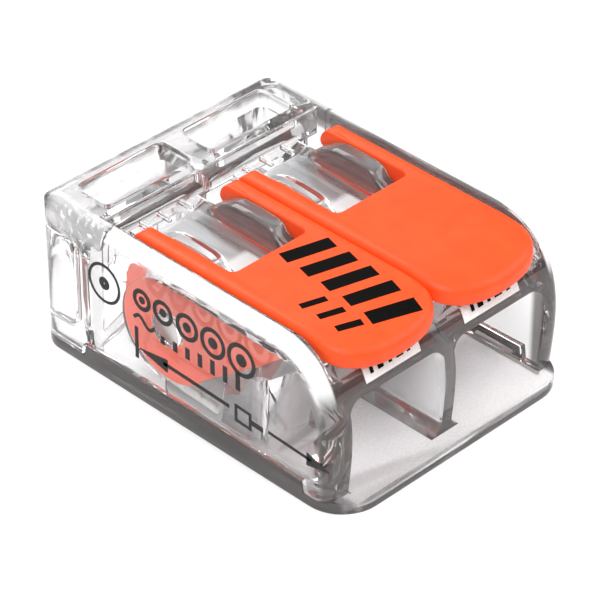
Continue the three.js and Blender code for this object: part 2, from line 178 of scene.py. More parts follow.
def prism(outline, low, high, place, round_low=0.0, round_high=0.0, steps=6):
    """A solid whose section is the outline, with rounded end edges. place turns (u, v, w) to (x, y, z)."""
    quarter = [math.pi / 2 * k / steps for k in range(steps + 1)]
    layers = [(low, 0.0)]
    if round_low:
        layers = [(low + round_low * (1 - math.cos(t)), round_low * (1 - math.sin(t))) for t in quarter]
    if round_high:
        layers += [(high - round_high * (1 - math.cos(t)), round_high * (1 - math.sin(t)))
                   for t in reversed(quarter)]
    else:
        layers.append((high, 0.0))
    return layered(outline, layers, place)


def layered(outline, layers, place):
    """A solid through (w, inset) layers of one outline."""
    outline = cleaned(outline)
    bm = bmesh.new()
    rings = []
    for w, distance in layers:
        ring = inset(outline, distance) if distance else outline
        rings.append([bm.verts.new(place(u, v, w)) for u, v in ring])
    count = len(outline)
    for below, above in zip(rings, rings[1:]):
        for i in range(count):
            j = (i + 1) % count
            bm.faces.new((below[i], below[j], above[j], above[i]))
    bm.faces.new(rings[0][::-1])
    bm.faces.new(rings[-1])
    bmesh.ops.recalc_face_normals(bm, faces=bm.faces)
    mesh = bpy.data.meshes.new("solid")
    bm.to_mesh(mesh)
    bm.free()
    return new_object("solid", mesh)


def along_x(outline, x0, x1, edge=0.0, steps=6):
    return prism(outline, x0, x1, lambda u, v, w: (w, u, v), edge, edge, steps)


def along_y(outline, y0, y1, edge=0.0, steps=6):
    return prism(outline, y0, y1, lambda u, v, w: (u, w, v), edge, edge, steps)


def along_z(outline, z0, z1, low=0.0, high=0.0, steps=6):
    return prism(outline, z0, z1, lambda u, v, w: (u, v, w), low, high, steps)


def flared(outline, z0, z1, flare, steps=5):
    """A cutter whose mouth at z1 widens, so that it leaves a rounded rim."""
    layers = [(z0, 0.0)]
    for k in range(steps + 1):
        t = math.pi / 2 * k / steps
        layers.append((z1 - flare + flare * math.sin(t), -flare * (1 - math.cos(t))))
    layers.append((z1 + 1, -flare))
    return layered(outline, layers, lambda u, v, w: (u, v, w))


def box(x0, x1, y0, y1, z0, z1):
    return along_z([(x0, y0), (x1, y0), (x1, y1), (x0, y1)], z0, z1)


def bar_x(x0, x1, y, z, radius, edge=0.0, steps=40):
    return along_x(arc(y, z, radius, 0, 360, steps)[:-1], x0, x1, edge, 3)


def settle(obj):
    """Applies the modifiers of obj to its mesh."""
    depsgraph = bpy.context.evaluated_depsgraph_get()
    mesh = bpy.data.meshes.new_from_object(obj.evaluated_get(depsgraph))
    obj.modifiers.clear()
    obj.data = mesh
    return obj


def combine(base, others, operation):
    for other in others:
        step = base.modifiers.new("combine", "BOOLEAN")
        step.operation = operation
        step.solver = "MANIFOLD"
        step.object = other
        settle(base)
        bpy.data.objects.remove(other)
    return base


def join(base, *others):
    return combine(base, others, "UNION")


def cut(base, *others):
    return combine(base, others, "DIFFERENCE")


def keep(base, *others):
    return combine(base, others, "INTERSECT")


def shift(obj, x=0.0, y=0.0, z=0.0):
    for vertex in obj.data.vertices:
        vertex.co += Vector((x, y, z))
    return obj


def mirrored(obj):
    """The same solid on the other side of X = 0."""
    mesh = obj.data.copy()
    bm = bmesh.new()
    bm.from_mesh(mesh)
    for vertex in bm.verts:
        vertex.co.x *= -1
    bmesh.ops.reverse_faces(bm, faces=bm.faces)
    bm.to_mesh(mesh)
    bm.free()
    return new_object("solid", mesh)


def both_sides(make):
    first = make()
    return [first, mirrored(first)]


def tidy(obj, bevel=0.06, angle=32, leave=lambda middle: False):
    """Merges flat facets and rounds the sharp outer edges a little, except where leave(middle) is true."""
    bm = bmesh.new()
    bm.from_mesh(obj.data)
    bmesh.ops.remove_doubles(bm, verts=bm.verts, dist=0.004)
    bmesh.ops.dissolve_limit(bm, angle_limit=math.radians(0.3), verts=bm.verts, edges=bm.edges)
    sharp = [edge for edge in bm.edges
             if edge.is_manifold and edge.calc_face_angle_signed() > math.radians(angle)
             and not leave((edge.verts[0].co + edge.verts[1].co) / 2)]
    bmesh.ops.bevel(bm, geom=sharp, offset=bevel, offset_type="OFFSET", segments=2, profile=0.5,
                    affect="EDGES", clamp_overlap=False)
    bm.to_mesh(obj.data)
    bm.free()
    return obj


def finish_piece(obj, name, body, material, replaces=(), smooth=35):
    """Turns a solid drawn in millimetres into a finished piece of the connector."""
    obj.name = name
    obj.data.name = name
    for vertex in obj.data.vertices:
        vertex.co *= MM
    obj.data.shade_smooth()
    obj.data.set_sharp_from_angle(angle=math.radians(smooth))
    obj.data.materials.clear()
    obj.data.materials.append(material)
    if replaces:
        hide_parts(*replaces)
    if body:
        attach(obj, body)
    return obj


# ---------------------------------------------------------------- materials

def node_material(name):
    """A material, its node tree and its main shader."""
    material = bpy.data.materials.new(name)
    material.use_nodes = True
    tree = material.node_tree
    return material, tree, tree.nodes["Principled BSDF"]


def noise(tree, scale, detail=3.0, stretch=(1, 1, 1)):
    """A noise texture in object coordinates; scale is per metre."""
    where = tree.nodes.new("ShaderNodeTexCoord")
    mapping = tree.nodes.new("ShaderNodeMapping")
    mapping.inputs["Scale"].default_value = stretch
    texture = tree.nodes.new("ShaderNodeTexNoise")
    texture.inputs["Scale"].default_value = scale
    texture.inputs["Detail"].default_value = detail
    tree.links.new(where.outputs["Object"], mapping.inputs["Vector"])
    tree.links.new(mapping.outputs["Vector"], texture.inputs["Vector"])
    return texture.outputs["Fac"]


def spread(tree, value, low, high, start=0.3, end=0.7):
    """Maps a noise value between start and end on to low..high."""
    ramp = tree.nodes.new("ShaderNodeMapRange")
    ramp.inputs["From Min"].default_value = start
    ramp.inputs["From Max"].default_value = end
    ramp.inputs["To Min"].default_value = low
    ramp.inputs["To Max"].default_value = high
    tree.links.new(value, ramp.inputs["Value"])
    return ramp.outputs["Result"]


def blend_colours(tree, value, first, second):
    mix = tree.nodes.new("ShaderNodeMix")
    mix.data_type = "RGBA"
    mix.inputs["A"].default_value = (*first, 1)
    mix.inputs["B"].default_value = (*second, 1)
    tree.links.new(value, mix.inputs["Factor"])
    return mix.outputs["Result"]


def tinged(tree, amount, colour, other):
    """A colour socket that turns to another colour where amount is 1."""
    mix = tree.nodes.new("ShaderNodeMix")
    mix.data_type = "RGBA"
    mix.inputs["B"].default_value = (*other, 1)
    tree.links.new(amount, mix.inputs["Factor"])
    tree.links.new(colour, mix.inputs["A"])
    return mix.outputs["Result"]


def mixed(tree, amount, first, second):
    """The first shader, turning to the second where amount is 1."""
    mix = tree.nodes.new("ShaderNodeMixShader")
    tree.links.new(amount, mix.inputs["Fac"])
    tree.links.new(first, mix.inputs[1])
    tree.links.new(second, mix.inputs[2])
    return mix.outputs["Shader"]


def bump(tree, shader, height, strength, distance):
    node = tree.nodes.new("ShaderNodeBump")
    node.inputs["Strength"].default_value = strength
    node.inputs["Distance"].default_value = distance
    tree.links.new(height, node.inputs["Height"])
    tree.links.new(node.outputs["Normal"], shader.inputs["Normal"])


def ramp_between(tree, value, start, end):
    """0 below start, 1 above end, smooth between. The values may run either way."""
    step = tree.nodes.new("ShaderNodeMapRange")
    step.interpolation_type = "SMOOTHSTEP"
    step.inputs["From Min"].default_value = start
    step.inputs["From Max"].default_value = end
    tree.links.new(value, step.inputs["Value"])
    return step.outputs["Result"]


def arithmetic(tree, operation, *values):
    """One sum or comparison of sockets and floats."""
    node = tree.nodes.new("ShaderNodeMath")
    node.operation = operation
    for slot, value in zip(node.inputs, values):
        if isinstance(value, float):
            slot.default_value = value
        else:
            tree.links.new(value, slot)
    return node.outputs["Value"]


def product(tree, *values):
    """The product of some sockets and numbers; the first is a socket."""
    result = values[0]
    for value in values[1:]:
        result = arithmetic(tree, "MULTIPLY", result, value)
    return result


def largest(tree, *values):
    """The largest of some sockets and numbers; the first is a socket."""
    result = values[0]
    for value in values[1:]:
        result = arithmetic(tree, "MAXIMUM", result, value)
    return result


def position(tree):
    """Object coordinates as x, y and z sockets, in millimetres."""
    where = tree.nodes.new("ShaderNodeTexCoord")
    scaled = tree.nodes.new("ShaderNodeVectorMath")
    scaled.operation = "SCALE"
    scaled.inputs["Scale"].default_value = 1 / MM
    split = tree.nodes.new("ShaderNodeSeparateXYZ")
    tree.links.new(where.outputs["Object"], scaled.inputs[0])
    tree.links.new(scaled.outputs["Vector"], split.inputs["Vector"])
    return split.outputs


def facing(tree):
    """The surface normal as x, y and z sockets."""
    surface = tree.nodes.new("ShaderNodeNewGeometry")
    split = tree.nodes.new("ShaderNodeSeparateXYZ")
    tree.links.new(surface.outputs["Normal"], split.inputs["Vector"])
    return split.outputs


def clear_plastic(name, tint, haze_low, haze_high, shade, milk_and_highlight, milk_and_highlight_tone):
    """Clear polycarbonate with flow marks and uneven haze.

    shade returns two sockets from 0 to 1: where painted shade darkens the plastic, and how much of that
    painted shade is an opaque dark layer.
    The milk-and-highlight function returns one: where a pale diffuse layer is mixed in, painted highlight on
    the housing and a grainy milky grey on the cover. Shadow rays pass, so that the light reaches the inside.
    """
    material, tree, shader = node_material(name)
    shader.inputs["IOR"].default_value = 1.56
    flow = noise(tree, 420, 4, (1, 0.35, 1))
    grain = noise(tree, 5200, 2)
    colour = blend_colours(tree, flow, tint, tuple(min(1, c * 1.03) for c in tint))
    # Painted shade: where its mask is 1 the colour turns nearly black and less light passes; part of it is
    # laid on as an opaque dark layer.
    painted_shade, opaque_shade = shade(tree)
    tree.links.new(tinged(tree, painted_shade, colour, (0.07, 0.06, 0.056)), shader.inputs["Base Color"])
    tree.links.new(spread(tree, grain, haze_low, haze_high), shader.inputs["Roughness"])
    bump(tree, shader, flow, 0.012, 0.00004)
    tree.links.new(arithmetic(tree, "MULTIPLY_ADD", painted_shade, -0.3, 1.0), shader.inputs["Transmission Weight"])

    # An opaque dark diffuse layer, mixed in as painted shade.
    shade_layer = tree.nodes.new("ShaderNodeBsdfDiffuse")
    shade_layer.inputs["Color"].default_value = (0.16, 0.15, 0.15, 1)
    # A pale diffuse layer: painted highlight on the housing, a grainy milky grey on the cover.
    skin = tree.nodes.new("ShaderNodeBsdfDiffuse")
    paler = tuple(c * 1.08 for c in milk_and_highlight_tone)
    tree.links.new(blend_colours(tree, flow, milk_and_highlight_tone, paler), skin.inputs["Color"])
    through = tree.nodes.new("ShaderNodeBsdfTransparent")
    through.inputs["Color"].default_value = (0.93, 0.93, 0.935, 1)
    shadow = tree.nodes.new("ShaderNodeLightPath").outputs["Is Shadow Ray"]

    surface = mixed(tree, opaque_shade, shader.outputs["BSDF"], shade_layer.outputs["BSDF"])
    surface = mixed(tree, milk_and_highlight(tree), surface, skin.outputs["BSDF"])
    surface = mixed(tree, shadow, surface, through.outputs["BSDF"])
    tree.links.new(surface, tree.nodes["Material Output"].inputs["Surface"])
    return material


def from_pole(tree, x):
    """Distance across from the middle of the nearer pole, positive to the right."""
    middle = arithmetic(tree, "MULTIPLY", arithmetic(tree, "SIGN", x), POLE)
    return arithmetic(tree, "SUBTRACT", x, middle)


def zone(tree, *limits, strength=1.0):
    """The strength where every value is past its end, 0 where one is short of its start.

    A limit is (value, start, end), smooth between start and end.
    """
    return product(tree, *[ramp_between(tree, *limit) for limit in limits], strength)


def housing_shade(tree):
    """Painted shade: the frame round the entries, the right-hand rails, the rear block's bars and a line at
    the seam.
    """
    x, y, z = position(tree)
    across = arithmetic(tree, "ABSOLUTE", x)
    aside = from_pole(tree, x)
    normal_x, normal_y, _ = facing(tree)
    outward = product(tree, normal_x, arithmetic(tree, "SIGN", x))

    side_frame = zone(tree, (y, FACE + 0.95, FACE + 0.55), (across, 0.6, 0.9))
    divider_edge = zone(tree, (normal_y, -0.3, -0.6), (y, FACE + 1.15, FACE + 0.85))
    below_nose = zone(tree, (z, DECK_TOP + 0.5, DECK_TOP - 0.3), strength=0.95)
    front = product(tree, largest(tree, side_frame, divider_edge), below_nose)
    foot = zone(tree, (across, 1.2, 1.0), (z, FLOOR + 0.75, FLOOR + 0.65), (y, -2.0, -3.0), strength=0.24)

    right_rail = zone(tree, (aside, RAIL_INNER - 0.12, RAIL_INNER - 0.02),
                      (aside, RAIL_OUTER + 0.05, RAIL_OUTER + 0.01),
                      (z, SHELF - 0.35, SHELF + 0.05), (y, 5.6, 5.0), (y, -2.0, -1.5))
    paler_top = largest(tree, zone(tree, (z, HEIGHT - 0.5, HEIGHT - 0.8), strength=0.9), 0.7)
    dark_nose = zone(tree, (y, 0.3, -0.2))
    rails = product(tree, right_rail, largest(tree, paler_top, dark_nose), 0.95)

    patches = spread(tree, noise(tree, 700, 2), 0.25, 1.0, 0.4, 0.6)
    rear_top = zone(tree, (y, WALL_FRONT - 0.35, WALL_FRONT + 0.05), (z, 7.4, 8.0), strength=0.75)
    rear_edge = product(tree, rear_top, patches)
    bar_face = zone(tree, (normal_y, -0.3, -0.7), (y, BAR_FRONT - 0.3, BAR_FRONT - 0.1),
                    (y, BAR_FRONT + 0.6, BAR_FRONT + 0.4), (z, SHELF + 0.05, SHELF + 0.25),
                    (z, HEIGHT - 0.4, HEIGHT - 0.7), strength=0.5)
    bar_top = zone(tree, (y, BAR_FRONT - 0.1, BAR_FRONT + 0.2), (z, HEIGHT - 0.3, HEIGHT - 0.1),
                   strength=0.25)
    wall = (across, BAY - 0.15, BAY - 0.05)
    inner_edge = zone(tree, (outward, 0.1, -0.4), (z, 7.4, 7.8), wall, strength=0.85)
    from_seam = arithmetic(tree, "ABSOLUTE", arithmetic(tree, "SUBTRACT", y, SEAM))
    seam = zone(tree, (from_seam, 0.06, 0.03), wall, (z, 6.2, 6.6))
    # All these masks are painted shade where the clear plastic looks dark; the second value is the share laid
    # on as an opaque dark layer.
    painted_shade = largest(tree, front, foot, rails, rear_edge, bar_face, bar_top, inner_edge, seam)
    return painted_shade, largest(tree, product(tree, painted_shade, 0.22), product(tree, rear_edge, 0.7))


def housing_painted_highlight(tree):
    """Painted highlight: a pale diffuse layer on the outer rounding along each side wall, the divider and a
    patch of each roof.
    """
    x, y, z = position(tree)
    across = arithmetic(tree, "ABSOLUTE", x)
    aside = from_pole(tree, x)
    sideways = arithmetic(tree, "ABSOLUTE", facing(tree)[0])
    rim = zone(tree, (across, HALF_WIDTH - 0.85, HALF_WIDTH - 0.7), (y, SEAM - 0.05, SEAM - 0.2),
               (z, 5.8, 6.8), (sideways, 0.05, 0.25), (sideways, 0.99, 0.9), strength=0.95)
    divider = zone(tree, (across, 1.2, 1.0), (y, -1.5, -3.0), (y, FACE + 0.15, FACE + 0.45),
                   (z, 5.6, 5.2), (z, FLOOR + 0.65, FLOOR + 0.8), strength=0.6)
    roof = zone(tree, (aside, -1.5, -1.4), (aside, 0.7, 0.4), (y, -1.0, -0.9), (y, 1.2, 0.7),
                (z, SHELF - 0.15, SHELF - 0.05), (z, SHELF + 0.15, SHELF + 0.05), strength=0.5)
    rear_rim = zone(tree, (across, HALF_WIDTH - 0.9, HALF_WIDTH - 0.7), (y, SEAM + 0.05, SEAM + 0.2),
                    (y, 10.0, 9.2), (z, 7.0, 7.8), strength=0.45)
    return largest(tree, rim, divider, roof, rear_rim)


def cover_shade(tree):
    """Painted shade along the cover's edges, where it is seen through its length."""
    x, y, z = position(tree)
    across = arithmetic(tree, "ABSOLUTE", x)
    side = zone(tree, (across, HALF_WIDTH - 0.9, HALF_WIDTH - 0.5), (z, 1.4, 1.1))
    front = zone(tree, (y, -REAR + 0.35, -REAR + 0.1), (z, 0.4, 0.36))
    painted_shade = largest(tree, side, front)
    return painted_shade, product(tree, painted_shade, 0.22)


def cover_milk(tree):
    """A grainy pale-grey diffuse layer over the floor of the wire entries, so that it looks milky."""
    x, y, z = position(tree)
    across = arithmetic(tree, "ABSOLUTE", x)
    grain = spread(tree, noise(tree, 9000, 2), 0.5, 0.6)
    textured = zone(tree, (across, BAY + 0.05, BAY - 0.35), (y, -REAR + 0.15, -REAR + 0.25), (y, -2.0, -4.0),
                    (z, FLOOR - 0.2, FLOOR - 0.05))
    return product(tree, grain, textured)


def frosted_plastic():
    """The housing's plastic where it is thin and finely textured: grey and half clear."""
    material, tree, shader = node_material("frosted_rib")
    grain = noise(tree, 5200, 3)
    colour = blend_colours(tree, spread(tree, grain, 0, 1), (0.4, 0.39, 0.39), (0.5, 0.49, 0.49))
    tree.links.new(colour, shader.inputs["Base Color"])
    tree.links.new(spread(tree, grain, 0.3, 0.45), shader.inputs["Roughness"])
    shader.inputs["Transmission Weight"].default_value = 0.15
    shader.inputs["Specular IOR Level"].default_value = 0.1
    return material


def orange_plastic():
    """Moulded orange plastic with a satin skin, faint mottling and edges a little paler."""
    material, tree, shader = node_material("orange_lever_plastic")
    mottle = noise(tree, 900, 5)
    colour = blend_colours(tree, spread(tree, mottle, 0, 1), (1.0, 0.078, 0.01), (1.0, 0.092, 0.014))
    geometry = tree.nodes.new("ShaderNodeNewGeometry")
    # Paler on the sharp convex edges, found by pointiness.
    pale_edges = spread(tree, geometry.outputs["Pointiness"], 0.0, 0.35, 0.52, 0.62)
    tree.links.new(tinged(tree, pale_edges, colour, (1.0, 0.13, 0.03)), shader.inputs["Base Color"])
    tree.links.new(spread(tree, noise(tree, 2600, 3), 0.42, 0.55), shader.inputs["Roughness"])
    shader.inputs["Specular IOR Level"].default_value = 0.35
    bump(tree, shader, noise(tree, 14000, 2), 0.12, 0.000012)
    return material


def metal(name, dark, light, rough_low, rough_high, stretch):
    """Rolled strip: streaks along one direction in colour, roughness and height."""
    material, tree, shader = node_material(name)
    streaks = noise(tree, 2600, 5, stretch)
    shader.inputs["Metallic"].default_value = 1.0
    colour = blend_colours(tree, spread(tree, streaks, 0, 1), dark, light)
    tree.links.new(colour, shader.inputs["Base Color"])
    tree.links.new(spread(tree, streaks, rough_low, rough_high), shader.inputs["Roughness"])
    bump(tree, shader, streaks, 0.15, 0.00001)
    return material


def ink(name, dark, light):
    """Pad-printed ink: nearly flat, with slightly uneven density."""
    material, tree, shader = node_material(name)
    density = noise(tree, 7000, 4)
    colour = blend_colours(tree, spread(tree, density, 0, 1), dark, light)
    tree.links.new(colour, shader.inputs["Base Color"])
    tree.links.new(spread(tree, density, 0.5, 0.7), shader.inputs["Roughness"])
    shader.inputs["Specular IOR Level"].default_value = 0.06
    return material


# The last colour of each is its pale layer: painted highlight on the housing, milky grey on the cover.
HOUSING_CLEAR = clear_plastic("clear_housing", (0.91, 0.912, 0.915), 0.0, 0.02, housing_shade, housing_painted_highlight,
                              (0.83, 0.83, 0.835))
COVER_CLEAR = clear_plastic("clear_cover", (0.93, 0.925, 0.925), 0.02, 0.1, cover_shade, cover_milk,
                            (0.62, 0.605, 0.61))
FROSTED = frosted_plastic()
ORANGE = orange_plastic()
SPRING_STEEL = metal("spring_steel", (0.66, 0.66, 0.67), (0.86, 0.86, 0.87), 0.25, 0.42, (1, 0.06, 0.06))
TINNED = metal("tinned_copper", (0.62, 0.6, 0.58), (0.82, 0.8, 0.77), 0.25, 0.42, (0.3, 1, 1))
BLACK_INK = ink("black_ink", (0.001, 0.001, 0.001), (0.005, 0.0045, 0.004))
GREY_INK = ink("grey_ink", (0.03, 0.03, 0.032), (0.06, 0.058, 0.058))
LABEL_WHITE = ink("label_white", (0.82, 0.82, 0.81), (0.92, 0.92, 0.91))


# ---------------------------------------------------------------- housing

def housing_outline(bottom):
    edge = 1.0
    points = [(REAR, bottom)] + arc(REAR - edge, HEIGHT - edge, edge, 0, 90, 8)
    points += [(3.0, HEIGHT), (-2.0, HEIGHT), (-5.6, HEIGHT)]
    points += bezier((-5.6, HEIGHT), (-7.2, HEIGHT), (-8.3, 8.1), (-8.9, 7.1), 14)
    points += bezier((-8.9, 7.1), (-9.5, 6.1), (FACE, 5.0), (FACE, 3.8), 10)
    points += bezier((FACE, 3.8), (FACE, 2.6), (-9.6, 1.6), (-9.5, FLOOR), 8)
    return points + [(-9.5, bottom)]


def web_outline():
    points = [(BEFORE_FACE, FLOOR), (PIVOT_Y, FLOOR)]
    points += arc(PIVOT_Y, PIVOT_Z, WEB_REACH, -90, 130, 26)
    return points + [(-1.9, DECK_TOP), (BEFORE_FACE, DECK_TOP)]


def cheek_outline():
    points = [(BEFORE_FACE, FLOOR), (PIVOT_Y, FLOOR)]
    points += arc(PIVOT_Y, PIVOT_Z, WEB_REACH, -90, 90, 26)
    return points + [(-7.2, 7.4), (-9.2, DECK_TOP), (BEFORE_FACE, DECK_TOP)]


def deck_outline():
    return [(-9.62, 5.75), (-9.2, 5.75), (-7.8, ENTRY_ROOF), (-5.4, ENTRY_ROOF), (-3.2, 5.35),
            (-1.5, 5.35), (-1.5, DECK_TOP), (-8.9, DECK_TOP), (-9.3, 6.55)]


def roof_outline():
    underside = SHELF - ROOF_THICK
    return [(BAR_FRONT + 0.3, underside), (BAR_FRONT + 0.3, SHELF), (ROOF_FRONT, SHELF), (ROOF_TOE, DECK_TOP),
            (ROOF_TOE, DECK_TOP - 0.4), (-1.5, DECK_TOP - 0.4), (-1.3, underside)]


def funnel_wall():
    plan = [(3.35, FACE + 0.1), (ENTRY_HALF, FACE), (ENTRY_HALF, FUNNEL_FRONT), (CHANNEL, FUNNEL_REAR),
            (CHANNEL, -1.5), (GUIDE, -1.5), (GUIDE, FUNNEL_REAR + 0.2), (3.35, FUNNEL_FRONT + 0.3)]
    return along_z(plan, FLOOR, DECK_TOP)


def entry_frame():
    """The frame around one wire entry at the face, with rounded upper corners."""
    slab = box(-POLE, POLE, BEFORE_FACE, FACE + 0.85, FLOOR, ENTRY_TOP + 0.4)
    half = ENTRY_HALF + 0.1
    return cut(slab, along_y(rounded(-half, half, FLOOR - 1, ENTRY_TOP, 0.1, 0.9, 10), FACE - 1, FACE + 2))


def divider_foot(y0, y1, half, top):
    """The divider spreads where it stands on the base cover."""
    waist = 0.28
    profile = [(-waist - (half - waist) * (1 - t) ** 2.2, FLOOR + (top - FLOOR) * t)
               for t in [k / 5 for k in range(6)]]
    profile += [(-u, v) for u, v in reversed(profile)]
    return along_y(profile, y0, y1)


def housing_block():
    block = along_x(housing_outline(-3), -HALF_WIDTH, HALF_WIDTH, TOP_ROUND, 8)
    plan = rounded(-HALF_WIDTH, HALF_WIDTH, FACE, REAR, FRONT_CORNER, REAR_CORNER, 10)
    return keep(block, along_z(plan, -4, 9.5))


def roof_rail():
    """The raised rail beside an arm of the lever: well rounded on its inner edge, it falls away in front."""
    outline = arc(PIVOT_Y, PIVOT_Z, RAIL_SWEEP, 40, 75, 10)
    outline += [(1.7, 8.63), (0.65, 8.58), (0.32, 8.48), (0.12, 8.34), (0.0, 8.12), (-0.6, 7.8), (-1.1, 7.4),
                (-1.3, 6.95), (4.85, 6.95)]
    return prism(outline, RAIL_INNER, RAIL_OUTER, lambda u, v, w: (w, u, v), 0.34, 0.1, 7)


def entry_ribs():
    """The slender lead-in rib on the outer wall of each wire entry, and the bead at that wall's foot."""
    plan = [(6.3, -5.5), (6.4, -6.9), (6.48, -7.6), (6.56, -7.85), (6.6, -7.85), (6.6, -5.5)]
    bead = [(6.44, FLOOR + 0.01), (6.56, FLOOR + 0.01), (6.56, FLOOR + 0.14)]
    return merged(both_sides(lambda: along_z(plan, 0.95, 1.15, 0.05, 0.05, 3))
                  + both_sides(lambda: along_y(bead, FACE + 0.15, -5.0)))


def pole_features():
    deck = keep(along_x(deck_outline(), -POLE, POLE),
                join(box(-POLE, POLE, -BEYOND, -7.5, 0, BEYOND), box(-GUIDE, GUIDE, -8, 0, 0, BEYOND)))
    ribs = [box(x - 0.11, x + 0.11, 5.25, 6.4, SHELF - 0.2, 7.6) for x in (-1.55, -0.35, 1.1)]
    return join(deck, entry_frame(), *both_sides(funnel_wall), along_x(roof_outline(), -ROOF_HALF, ROOF_HALF),
                *both_sides(roof_rail), *ribs)


def housing():
    bay = [(-BAY, -BEYOND), (BAY, -BEYOND), (BAY, BAR_FRONT), (-BAY, BAR_FRONT)]
    shell = cut(
        housing_block(),
        box(-BEYOND, BEYOND, -BEYOND, BEYOND, -BEYOND, FLOOR),
        flared(bay, DECK_TOP - 0.2, HEIGHT, 0.22),
        box(-BAY, BAY, -BEYOND, BEYOND, FLOOR - 1, BLOCK_BOTTOM))
    shell = join(
        shell,
        along_x(web_outline(), -0.2, 0.2),
        keep(along_x(web_outline(), -0.3, 0.3), box(-1, 1, -BEYOND, -2.1, 0, BEYOND)),
        divider_foot(FACE - 0.4, -1.5, 0.95, 1.5),
        bar_x(-0.85, 0.85, PIVOT_Y, PIVOT_Z, BOSS_RADIUS),
        *both_sides(lambda: along_x(cheek_outline(), CHEEK_FACE, BAY + 0.2)),
        *both_sides(lambda: bar_x(6.05, BAY + 0.2, PIVOT_Y, PIVOT_Z, BOSS_RADIUS)),
        shift(pole_features(), x=-POLE),
        shift(pole_features(), x=POLE),
        box(-BAY - 0.1, BAY + 0.1, 6.75, 7.35, FLOOR, BLOCK_BOTTOM + 0.1),
        box(-0.3, 0.3, 6.75, WALL_FRONT - 0.3, FLOOR, BLOCK_BOTTOM + 0.1))
    shell = keep(shell, housing_block())
    pocket = [(-7.6, 7.4), (-7.6, 7.3), (-7.0, 6.75), (-0.9, 2.1), (0, 2.1), (0, 7.4)]
    for x in (-POLE, POLE):
        shell = cut(
            shell,
            shift(flared(rounded(-2.75, 2.75, 7.05, 9.25, 0.35), 7.75, HEIGHT, 0.2), x=x),
            shift(along_y(rounded(-2.2, 2.2, 1.0, 5.6, 0.5), 6.2, 7.9), x=x),
            *[shift(side, x=x) for side in both_sides(lambda: along_x(pocket, GUIDE, 3.25))])
    tongue_window = rounded(TONGUE_FRONT - TONGUE_GAP, BEYOND, TONGUE_BOTTOM - TONGUE_GAP,
                            TONGUE_TOP + TONGUE_GAP, 0.65)
    return cut(
        shell,
        box(-5.9, 5.9, 1.85, 5.5, FLOOR - 1, 1.5),
        *both_sides(lambda: along_x(tongue_window, TONGUE_INNER, BEYOND)),
        *both_sides(lambda: along_x([(-8.1, 0), (7.4, 0), (7.2, 1.25), (-7.9, 1.25)], 7.35, BEYOND)))


# ---------------------------------------------------------------- base cover

def base_cover():
    footprint = rounded(-HALF_WIDTH, HALF_WIDTH, -REAR, REAR, COVER_FRONT_CORNER, REAR_CORNER, 10)
    strip = [(-7.95, 0.2), (7.25, 0.2), (7.1, 1.15), (-7.8, 1.15)]
    tongue = rounded(TONGUE_FRONT, BEYOND, TONGUE_BOTTOM, TONGUE_TOP, 0.6)
    cover = join(
        along_z(footprint, 0, FLOOR - 0.02),
        *both_sides(lambda: along_x(strip, 7.45, HALF_WIDTH)),
        box(-7.0, 7.0, WALL_FRONT, REAR, 0.2, TONGUE_TOP),
        *both_sides(lambda: along_x(tongue, TONGUE_INNER, HALF_WIDTH)),
        *both_sides(lambda: box(6.6, HALF_WIDTH, WALL_FRONT, REAR, TONGUE_BOTTOM, TONGUE_TOP)))
    return keep(cover, along_z(footprint, -1, BEYOND))


# ---------------------------------------------------------------- levers

def droop(y, z=HEIGHT):
    """How far the pad has dropped at y: nothing over the housing, most at the top of the nose."""
    reach = max(0.0, (DROOP_START - y) / (DROOP_START - PAD_FRONT))
    return NOSE_DROP * reach**2.2 * (0.7 + 0.3 * (z - PAD_UNDER) / (HEIGHT - PAD_UNDER))


def lever_plan():
    nose = PAD_FRONT + 2.2
    points = arc(-LEVER_HALF + 0.42, ARM_REAR - 0.42, 0.42, 90, 180, 6)
    points += [(-LEVER_HALF, 0), (-LEVER_HALF, -3.5), (-LEVER_HALF, nose)]
    points += bezier((-LEVER_HALF, nose), (-LEVER_HALF, -9.25), (-2.1, PAD_FRONT), (0, PAD_FRONT), 16)
    points += bezier((0, PAD_FRONT), (2.1, PAD_FRONT), (LEVER_HALF, -9.25), (LEVER_HALF, nose), 16)
    points += [(LEVER_HALF, -3.5), (LEVER_HALF, 0)]
    return points + arc(LEVER_HALF - 0.42, ARM_REAR - 0.42, 0.42, 0, 90, 6)


def arm_side_view():
    points = [(-BEYOND, 5), (ARM_REAR, 5), (ARM_REAR, 7.85)]
    points += bezier((ARM_REAR, 7.85), (ARM_REAR, 8.35), (4.35, HEIGHT), (3.8, HEIGHT), 8)
    return points + [(3.8, HEIGHT + 0.05), (-BEYOND, HEIGHT + 0.05)]


def plate_outline():
    points = [(-7.1, PAD_UNDER + 0.1), (-0.78, 2.78)]
    points += arc(PIVOT_Y, PIVOT_Z, DISC, 216, 360, 30)
    return points + [(4.7, 7.7), (4.5, 8.3), (-6.6, 8.3)]


def lever():
    top = along_z(lever_plan(), PAD_UNDER - 0.02, HEIGHT, 0.28, 0.42, 8)
    slice_mesh(top, [-9.6 + 0.35 * i for i in range(11)])
    for vertex in top.data.vertices:
        vertex.co.z -= droop(vertex.co.y, vertex.co.z)
    top = keep(top, along_x(arm_side_view(), -5, 5))
    window = flared(rounded(-WINDOW_HALF, WINDOW_HALF, PAD_REAR, 4.5, 0.35, 0.1), 7, HEIGHT, 0.14)
    window = join(window, flared(rounded(-WINDOW_HALF, WINDOW_HALF, 3, 6, 0.1), 7, HEIGHT - 0.05, 0.14))
    top = cut(top, window)
    plates = both_sides(lambda: along_x(plate_outline(), PLATE_INNER, PLATE_OUTER, 0.06, 2))
    lugs = both_sides(lambda: bar_x(LUG_INNER, PLATE_INNER + 0.1, LUG_Y, LUG_Z, LUG_RADIUS, 0.08))
    body = join(top, *plates, *lugs)
    return cut(body, bar_x(-4, 4, PIVOT_Y, PIVOT_Z, BOSS_HOLE))


